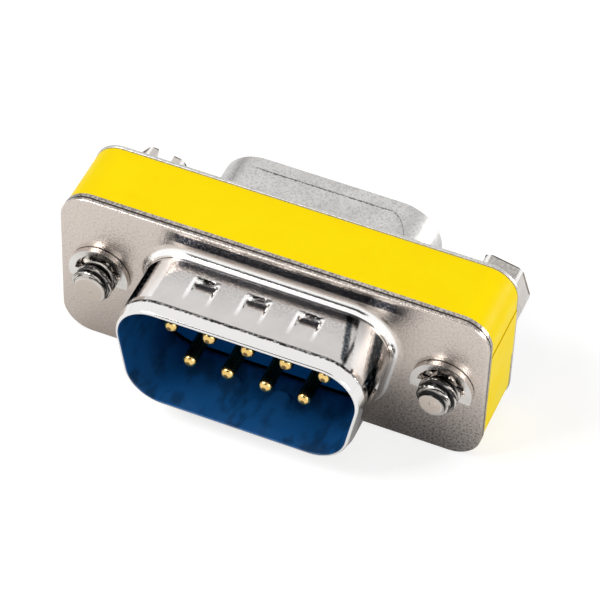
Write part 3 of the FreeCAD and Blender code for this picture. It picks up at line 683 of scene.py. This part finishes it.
def corner_reflections(paint, ragged, speckle):
    """Painted dark and bright reflections, streaked round the shell's upper corners.

    Each keeps to a line where x + slope * y is constant, with a ragged edge.
    """
    wavy = paint.plus(paint.axis("X"), paint.times(ragged, 0.3))
    upper = paint.times(paint.band(paint.axis("Y"), *STREAK_REACH, 0.2),
                        paint.rise(paint.axis("Z"), 1.0, 1.5))

    def streak(slope, middle, half_width):
        place = paint.plus(wavy, paint.times(paint.axis("Y"), slope))
        return paint.times(upper, paint.band(place, middle, half_width, 0.16))

    dark = paint.larger(streak(0.28, 5.94, 0.13), streak(0.2, 8.1, 0.22))
    dark = paint.larger(dark, paint.times(upper, paint.fall(wavy, -7.65, -7.45)))
    dark = paint.times(dark, paint.remap(speckle, 0.36, 0.5, 0.7, 0.95))
    return dark, paint.larger(streak(0.24, 7.05, 0.36), streak(0.0, -6.95, 0.36))


def grain_and_mirrored_shade(paint, along, flat, near_root, speckle):
    """Where the speckled plating is darker: near the root, where the speckle carries a painted dark
    reflection, in pits of the flange, and on its rim.

    The pits are strongest at the flange's lower right, darkened there by a painted reflection of
    the shaded paper.
    """
    # Speckle near the root, darkened as a painted reflection
    root_grain_and_reflection = paint.times(near_root, paint.remap(speckle, 0.4, 0.6, 0.15, 1.0))
    root_grain_and_reflection = paint.times(root_grain_and_reflection, paint.fall(along, -0.9, -0.8))
    # A painted reflection of the shaded paper, strongest at the flange's lower right
    mirrored_shade_low_right = paint.times(paint.fall(paint.axis("Z"), -5.5, 1.0),
                            paint.rise(paint.axis("X"), 5.0, 9.0))
    pits = paint.times(paint.rise(speckle, 0.48, 0.62),
                       paint.plus(paint.times(mirrored_shade_low_right, 0.5), 0.22))
    pits = paint.times(paint.plus(pits, paint.times(mirrored_shade_low_right, 0.55)), flat)
    rim = paint.times(paint.band(along, *FLANGE_RIM, 0.06),
                      paint.remap(speckle, 0.42, 0.56, 0.1, 0.85))
    return paint.larger(paint.times(root_grain_and_reflection, 0.5), paint.larger(pits, rim))


def reflection_band_above_collar(paint, flat, ragged, speckle):
    """A painted dark reflection as a band on the flange above the collar, frayed along its edges."""
    above = paint.band(paint.plus(paint.axis("Z"), paint.times(ragged, 0.3)), 5.8, 0.34, 0.12)
    above = paint.times(above, paint.band(paint.axis("X"), 1.0, 7.8, 1.0))
    above = paint.times(above, paint.remap(speckle, 0.36, 0.5, 0.55, 1.0))
    return paint.times(above, flat)


def mouth_crease_shade(paint, along, ragged):
    """A broken line of painted shade where the collar leans in to the mouth, faint on the sides
    and below.
    """
    place = paint.plus(along, paint.times(ragged, 0.3))
    crease = paint.times(paint.band(place, *CREASE, 0.06), paint.remap(ragged, 0.4, 0.5, 0.35, 1.0))
    return paint.times(crease, paint.remap(paint.axis("Z"), 3.0, 4.0, 0.25, 1.0))


def shell_metal():
    """Bright nickel on the plug shell.

    Smooth on the drawn collar, darker and speckled near its root with a painted dark reflection,
    speckled on the flat flange with a painted dark reflection band above the collar and a painted
    reflection of shaded paper at its lower right. Painted dark and bright reflections streak the
    upper corners. The rounded root has a painted highlight, with a thin line of painted shade
    along it. The mouth has a painted highlight and its crease painted shade; the dents have painted
    highlights on their rims and painted shade on their rear edges. The inner wall is dull and has
    the insulator's blue painted on as a reflection, blotched darker.
    """
    paint = plated_metal("bright nickel", (0.66, 0.63, 0.61), (0.60, 0.575, 0.56),
                         0.08, 0.14, 6.0, 0.002)
    along = paint.axis("Y")
    ragged = paint.ragged()
    speckle = paint.speckle()
    flat = paint.rise(along, -0.3, -0.1)
    near_root = paint.rise(along, -3.4, -1.0)
    inner = paint.attribute("inner_wall")
    streak, lens = corner_reflections(paint, ragged, speckle)
    bright, dark = dent_highlights_and_shade(paint, ragged)
    # Painted shade lines: on the mouth's crease and along the root
    lines = paint.larger(mouth_crease_shade(paint, along, ragged), paint.band(along, *ROOT_LINE, 0.03))
    # Over the plating's tone and speckle lie painted reflections, highlights and shade, the last on top
    tint = paint.layers(
        paint.tint,
        (paint.times(flat, 0.75), WARM_NICKEL),
        (grain_and_mirrored_shade(paint, along, flat, near_root, speckle), PITTED_AND_SHADED_NICKEL),
        (reflection_band_above_collar(paint, flat, ragged, speckle), MIRRORED_BLUE_BLACK),
        (paint.times(lens, 0.8), REFLECTION_WHITE),
        (streak, REFLECTION_BLACK),
        (paint.band(along, *ROOT_BAND, 0.06), ROOT_HIGHLIGHT_WHITE),
        (paint.remap(along, *MOUTH_FADE, 0.7, 0.0), MOUTH_HIGHLIGHT_WHITE),
        (paint.band(along, *SHEET_LINE, 0.03), SHEET_BROWN),
        (paint.times(bright, 0.9), DENT_HIGHLIGHT_WHITE),
        (paint.larger(lines, dark), SHADE_LINE_BLACK),
    )
    # The inner wall: the insulator's blue painted on as a reflection, blotched darker with painted
    # reflections
    reflection_blotch = paint.noise(0.8, 4.0, 0.6, paint.stretched(1.0, 0.5, 1.0))
    blue = paint.mix(paint.remap(reflection_blotch, 0.48, 0.62, 0.0, 0.75), MIRRORED_BLUE, MIRRORED_DARK_BLUE)
    paint.colour(paint.mix(inner, tint, blue))
    # The painted dark reflections also darken the specular tint
    paint.link(paint.mix(streak, (1.0, 1.0, 1.0), STREAK_SHINE),
               paint.shader.inputs["Specular Tint"])
    dull = paint.larger(paint.times(flat, 0.1), paint.times(inner, 0.3))
    dull = paint.larger(dull, paint.times(lens, 0.3))
    paint.roughness(paint.plus(paint.gloss, dull))
    paint.link(paint.minus(1.0, paint.times(inner, 0.75)), paint.shader.inputs["Metallic"])
    relief = paint.larger(flat, paint.times(near_root, 0.3))
    paint.bump(paint.times(speckle, relief), 0.02)
    return paint


def rear_metal():
    """Satin nickel, speckled, with a thin ragged dark line along the rear shell's top.

    The line lies near y = 9.85, less 0.6 times the square of how far x is beyond 4.6.
    """
    paint = plated_metal("satin nickel", (0.66, 0.65, 0.63), (0.57, 0.56, 0.55),
                         0.28, 0.42, 9.0, 0.006)
    speckle = paint.remap(paint.speckle(), 0.48, 0.62, 0.0, 0.45)
    beyond = paint.larger(paint.minus(paint.axis("X"), 4.6), 0.0)
    bent = paint.times(paint.times(beyond, beyond), 0.6)
    ragged = paint.ragged()
    place = paint.plus(paint.plus(paint.axis("Y"), bent), paint.times(ragged, 0.4))
    line = paint.times(paint.band(place, 10.05, 0.03, 0.05),
                       paint.remap(ragged, 0.4, 0.5, 0.15, 0.9))
    line = paint.times(line, paint.rise(paint.axis("X"), -6.0, -5.0))
    line = paint.times(line, paint.rise(paint.axis("Z"), 2.2, 2.6))
    line = paint.times(line, paint.rise(paint.axis("Y"), 6.6, 6.9))
    paint.colour(paint.layers(paint.tint, (speckle, (0.25, 0.24, 0.235)), (line, (0.05, 0.05, 0.055))))
    return paint


def screw_metal():
    """Nickel on the jackscrews, with painted shade in the valleys of the thread and painted dark
    reflections streaked round it.

    The valleys are where the distance from the screw's own line is less than the crest's. The
    heads are speckled dark, the right head's top face most, as painted shade over the speckle, and
    the hexagon's corners have a painted highlight.
    """
    paint = plated_metal("screw nickel", (0.66, 0.62, 0.58), (0.54, 0.505, 0.47),
                         0.08, 0.16, 12.0, 0.002)
    along = paint.axis("Y")
    height = paint.axis("Z")
    across = paint.minus(paint.absolute(paint.axis("X")), SCREW_X)
    squares = paint.plus(paint.times(across, across), paint.times(height, height))
    from_line = paint.combine("SQRT", squares)
    crest = paint.remap(along, TIP, TIP + 0.7, 1.0, THREAD_MAJOR)
    # Painted shade in the thread's valleys
    valley = paint.times(paint.rise(paint.minus(crest, from_line), 0.08, 0.2),
                         paint.rise(along, TIP + 0.06, TIP + 0.1))
    valley = paint.times(valley, paint.fall(along, -0.3, -0.2))
    # Painted dark reflections streaked round the thread
    streaks = paint.noise(1.3, 3.0, 0.6, paint.stretched(0.8, 9.0, 0.8))
    streaks = paint.times(paint.remap(streaks, 0.46, 0.53, 0.0, 0.95),
                          paint.band(along, -1.18, 0.68, 0.04))
    on_head = paint.rise(along, HEAD_FRONT - 0.1, HEAD_FRONT)
    # Painted shade on the right head's top face, over speckle on both heads
    top_face = paint.times(paint.remap(height, 1.78, 1.86, 0.0, 0.85),
                           paint.rise(paint.axis("X"), -0.1, 0.1))
    speckled = paint.times(paint.remap(paint.speckle(), 0.4, 0.6, 0.25, 0.8),
                           paint.times(on_head, paint.plus(top_face, 0.2)))
    # Painted highlight on the hexagon's corners
    corners = paint.times(paint.remap(from_line, 2.395, 2.43, 0.0, 0.9), on_head)
    end_face = paint.fall(along, TIP + 0.055, TIP + 0.062)
    paint.colour(paint.layers(
        paint.tint,
        (speckled, (0.30, 0.285, 0.27)),
        (corners, (0.97, 0.95, 0.93)),
        (end_face, (0.56, 0.49, 0.43)),
        (paint.larger(valley, streaks), (0.02, 0.02, 0.02)),
    ))
    return paint


def gold():
    """Gold plate, clean on the domed tips, with a painted dark reflection at their very middle and
    painted shade on the pins' sides.
    """
    paint = plated_metal("gold plate", (0.90, 0.64, 0.25), (0.80, 0.53, 0.17),
                         0.12, 0.26, 12.0, 0.002)
    along = paint.axis("Y")
    # Painted shade on the pins' sides
    shaded_sides = paint.times(paint.rise(along, PIN_TIP + 0.3, PIN_TIP + 0.7),
                          paint.fall(along, 2.0, 3.0))
    # A painted dark reflection at each dome's middle
    centre = paint.remap(along, PIN_TIP + 0.015, PIN_TIP + 0.035, 0.85, 0.0)
    paint.colour(paint.layers(paint.tint, (shaded_sides, (0.21, 0.135, 0.05)), (centre, (0.04, 0.02, 0.01))))
    return paint


def plain_plastic(name, light, dark, smooth, rough, grain, depth):
    """Moulded plastic: a slight mottle in colour and gloss."""
    paint = Paint(name, 0.0, 0.2)
    mottle = paint.noise(0.9, 3.0)
    fine = paint.noise(grain, 2.0)
    paint.colour(paint.mix(paint.rise(mottle, 0.3, 0.7), light, dark))
    paint.roughness(paint.remap(fine, 0.3, 0.7, smooth, rough))
    paint.bump(fine, depth)
    return paint


def yellow_film():
    """Glossy yellow film with a painted shadow line where its end laps over itself on the right
    side.
    """
    paint = Paint("yellow film", 0.0, 0.08)
    mottle = paint.noise(0.4, 4.0)
    base = paint.mix(paint.rise(mottle, 0.3, 0.7), (1.0, 0.765, 0.0), (1.0, 0.725, 0.0))
    # A painted shadow line where the film laps over itself
    lap_shadow = paint.times(paint.band(paint.axis("Z"), 3.12, 0.005, 0.035),
                       paint.remap(paint.axis("X"), 15.2, 15.25, 0.0, 0.7))
    paint.colour(paint.mix(lap_shadow, base, (0.35, 0.17, 0.0)))
    paint.roughness(paint.remap(mottle, 0.3, 0.7, 0.35, 0.5))
    paint.bump(paint.noise(1.2, 3.0), 0.004)
    return paint


MATERIALS = {
    "bright_nickel": shell_metal(),
    "satin_nickel": rear_metal(),
    "screw_nickel": screw_metal(),
    "spring_steel": plated_metal("spring steel", (0.78, 0.75, 0.72), (0.66, 0.63, 0.6),
                                 0.16, 0.3, 10.0, 0.003),
    "gold_plate": gold(),
    "blue_plastic": plain_plastic("blue plastic", (0.0, 0.125, 0.42), (0.0, 0.11, 0.37),
                                  0.35, 0.5, 6.0, 0.003),
    "white_plastic": plain_plastic("white plastic", (0.85, 0.85, 0.82), (0.78, 0.78, 0.75),
                                   0.4, 0.55, 6.0, 0.003),
    "yellow_film": yellow_film(),
}

for entry in frame["record"]["subparts"]:
    node = frame["nodes"][entry["node"]]
    node.data.materials.clear()
    node.data.materials.append(MATERIALS[entry["material_slot"]].material)
    shade(node, 35)

# Shells with rounded roots, mouths and dents
front = drawn_shell("plug_shell_with_dents", 0.0, -1, PLUG, PLUG_REACH, PLUG_GAUGE,
                    root=0.7, lip=0.2, taper=0.14, bend_run=1.0, dented=True)
rear = drawn_shell("socket_shell_rounded", REAR_FACE, 1, SOCKET, SOCKET_REACH, SOCKET_GAUGE,
                   root=0.6, lip=0.16, taper=0.0, bend_run=1.4, dented=False)
for item, node, slot in ((front, "front_shell", "bright_nickel"),
                         (rear, "rear_shell", "satin_nickel")):
    item.data.materials.append(MATERIALS[slot].material)
    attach(item, "connector")
    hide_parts(node)

# Jackscrews with real threads, hexagon heads and slots: label, side, turn of a head corner, turn
# of the slot, turn of the thread's valley at the tip, thread's root and crest at the tip
SCREWS = (
    ("left", -1, -9.0, 83.5, 90.0, 1.0, 1.12),
    ("right", 1, -12.2, -50.0, 20.0, 0.62, 0.98),
)
for label, side, head_turn, slot_turn, valley, root, crest in SCREWS:
    pieces = [jackscrew("%s_screw_with_thread" % label, side, head_turn, valley, root, crest)]
    pieces += [prong("%s_head_prong_%d" % (label, half + 1), side, head_turn, slot_turn, half)
               for half in (0, 1)]
    for item in pieces:
        item.data.materials.append(MATERIALS["screw_nickel"].material)
        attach(item, "%s_screw" % label)
    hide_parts("%s_jackscrew" % label)

# Contacts with domed tips, five above four
PLACES = [(PIN_PITCH * k, ROW_PITCH / 2) for k in (-2, -1, 0, 1, 2)]
PLACES += [(PIN_PITCH * k, -ROW_PITCH / 2) for k in (-1.5, -0.5, 0.5, 1.5)]
for number, (centre_x, centre_z) in enumerate(PLACES, start=1):
    item = contact("domed_contact_%d" % number, centre_x, centre_z)
    item.data.materials.append(MATERIALS["gold_plate"].material)
    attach(item, "connector")
    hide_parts("contact_%d" % number)


# Studio
def card(name, centre, across, up, material):
    """A flat rectangle given by its centre and two half-edge vectors, in millimetres."""
    centre, across, up = (np.array(v, float) for v in (centre, across, up))
    corners = [centre - across - up, centre + across - up,
               centre + across + up, centre - across + up]
    item = mesh_object(name, corners, [(0, 1, 2, 3)])
    item.data.materials.append(material)
    return item


def seen_share(tree):
    """1 on rays that show the background: from the camera, off metal, or through glass."""
    path = tree.nodes.new("ShaderNodeLightPath")
    total = path.outputs["Is Camera Ray"]
    for name in ("Is Glossy Ray", "Is Transmission Ray"):
        node = tree.nodes.new("ShaderNodeMath")
        node.operation = "MAXIMUM"
        tree.links.new(total, node.inputs[0])
        tree.links.new(path.outputs[name], node.inputs[1])
        total = node.outputs[0]
    return total


def floor_material():
    """White paper: mostly white of its own on rays that show it, the rest lit by the lamps.

    Metal mirrors the paper darker within shadow_reach of the object, where the paper is shaded.
    """
    own_white, mirrored_white, lit_grey = 0.7, 0.62, 0.42
    shadow_reach, full_shadow = 12 * MM, 0.25
    material = bpy.data.materials.new("white paper")
    material.use_nodes = True
    tree = material.node_tree
    tree.nodes.clear()
    out = tree.nodes.new("ShaderNodeOutputMaterial")
    paper = tree.nodes.new("ShaderNodeBsdfDiffuse")
    paper.inputs["Color"].default_value = (lit_grey, lit_grey, lit_grey, 1.0)
    near = tree.nodes.new("ShaderNodeAmbientOcclusion")
    near.inputs["Distance"].default_value = shadow_reach
    mirrored = tree.nodes.new("ShaderNodeMapRange")
    for socket, value in zip(("From Min", "From Max", "To Min", "To Max"),
                             (full_shadow, 1.0, 0.0, mirrored_white)):
        mirrored.inputs[socket].default_value = value
    tree.links.new(near.outputs["AO"], mirrored.inputs["Value"])
    path = tree.nodes.new("ShaderNodeLightPath")
    choice = tree.nodes.new("ShaderNodeMix")
    choice.inputs[2].default_value = own_white
    tree.links.new(path.outputs["Is Glossy Ray"], choice.inputs[0])
    tree.links.new(mirrored.outputs["Result"], choice.inputs[3])
    strength = tree.nodes.new("ShaderNodeMath")
    strength.operation = "MULTIPLY"
    tree.links.new(seen_share(tree), strength.inputs[0])
    tree.links.new(choice.outputs[0], strength.inputs[1])
    glow = tree.nodes.new("ShaderNodeEmission")
    tree.links.new(strength.outputs[0], glow.inputs["Strength"])
    both = tree.nodes.new("ShaderNodeAddShader")
    tree.links.new(paper.outputs[0], both.inputs[0])
    tree.links.new(glow.outputs[0], both.inputs[1])
    tree.links.new(both.outputs[0], out.inputs["Surface"])
    return material


def card_material(name, colour):
    """Matt studio card."""
    material = bpy.data.materials.new(name)
    material.use_nodes = True
    shader = material.node_tree.nodes["Principled BSDF"]
    shader.inputs["Base Color"].default_value = (*colour, 1.0)
    shader.inputs["Roughness"].default_value = 0.9
    shader.inputs["Specular IOR Level"].default_value = 0.0
    return material


card("paper_floor", (0, 0, FLOOR_Z - 0.01), (900, 0, 0), (0, 900, 0), floor_material())
BLACK = card_material("black card", (0.01, 0.01, 0.01))
card("black_card_front", (-20, -245, 262), (130, 0, 0), (0, 60, 65), BLACK)
card("black_card_back", (99, 165, 177), (45, -30, 0), (0, 32, 38), BLACK)
card("black_card_left", (-268, 227, 55), (22, 26, 0), (0, 10, 45), BLACK)
card("black_card_right", (252, 237, 140), (22, -24, 0), (0, 30, 40), BLACK)


def placed(name, data, place, right, up, back):
    """An object for a lamp or camera that looks along minus back; place in millimetres."""
    item = bpy.data.objects.new(name, data)
    bpy.context.scene.collection.objects.link(item)
    turn = np.eye(4)
    turn[:3, 0], turn[:3, 1], turn[:3, 2], turn[:3, 3] = right, up, back, place * MM
    item.matrix_world = Matrix(turn.tolist())
    return item


def lamp(name, place, width, height, power):
    """A soft rectangular lamp that shines at the object's middle, in millimetres and watts."""
    data = bpy.data.lights.new(name, "AREA")
    data.shape = "RECTANGLE"
    data.size = width * MM
    data.size_y = height * MM
    data.energy = power
    place = np.array(place, float)
    back = place / np.linalg.norm(place)
    right = np.cross((0, 0, 1.0), back)
    right /= np.linalg.norm(right)
    placed(name, data, place, right, np.cross(back, right), back)


lamp("key lamp", (-190, -120, 260), 150, 150, 0.75)
lamp("fill lamp", (240, -100, 120), 140, 100, 0.25)
lamp("back lamp", (262, 222, 45), 100, 60, 0.4)

world = bpy.data.worlds.new("studio")
bpy.context.scene.world = world
world.use_nodes = True
sky = world.node_tree.nodes["Background"]
sky.inputs["Color"].default_value = (1.0, 1.0, 1.0, 1.0)
level = world.node_tree.nodes.new("ShaderNodeMapRange")
level.inputs["To Min"].default_value = 0.4
level.inputs["To Max"].default_value = 1.0
world.node_tree.links.new(seen_share(world.node_tree), level.inputs["Value"])
world.node_tree.links.new(level.outputs["Result"], sky.inputs["Strength"])


# Camera at the photo's angle
def camera():
    """Camera from azimuth, elevation, roll, distance and offset; its lens fits a 600-pixel square
    picture.
    """
    azimuth, elevation, roll = np.radians([21.225, 47.048, 2.283])
    distance, shift_x, shift_y = 224.859, -2.042, -1.801
    focal_pixels, picture_pixels, sensor_width = 3351.41, 600, 36.0
    back = np.array([math.sin(azimuth) * math.cos(elevation),
                     -math.cos(azimuth) * math.cos(elevation), math.sin(elevation)])
    level_right = np.array([math.cos(azimuth), math.sin(azimuth), 0.0])
    level_up = np.cross(back, level_right)
    right = math.cos(roll) * level_right + math.sin(roll) * level_up
    up = -math.sin(roll) * level_right + math.cos(roll) * level_up
    data = bpy.data.cameras.new("camera")
    data.sensor_width = sensor_width
    data.lens = focal_pixels / picture_pixels * sensor_width
    data.clip_start = 0.01
    data.clip_end = 10.0
    place = -shift_x * right - shift_y * up + distance * back
    bpy.context.scene.camera = placed("camera", data, place, right, up, back)


camera()
bpy.context.scene.view_settings.view_transform = "Standard"
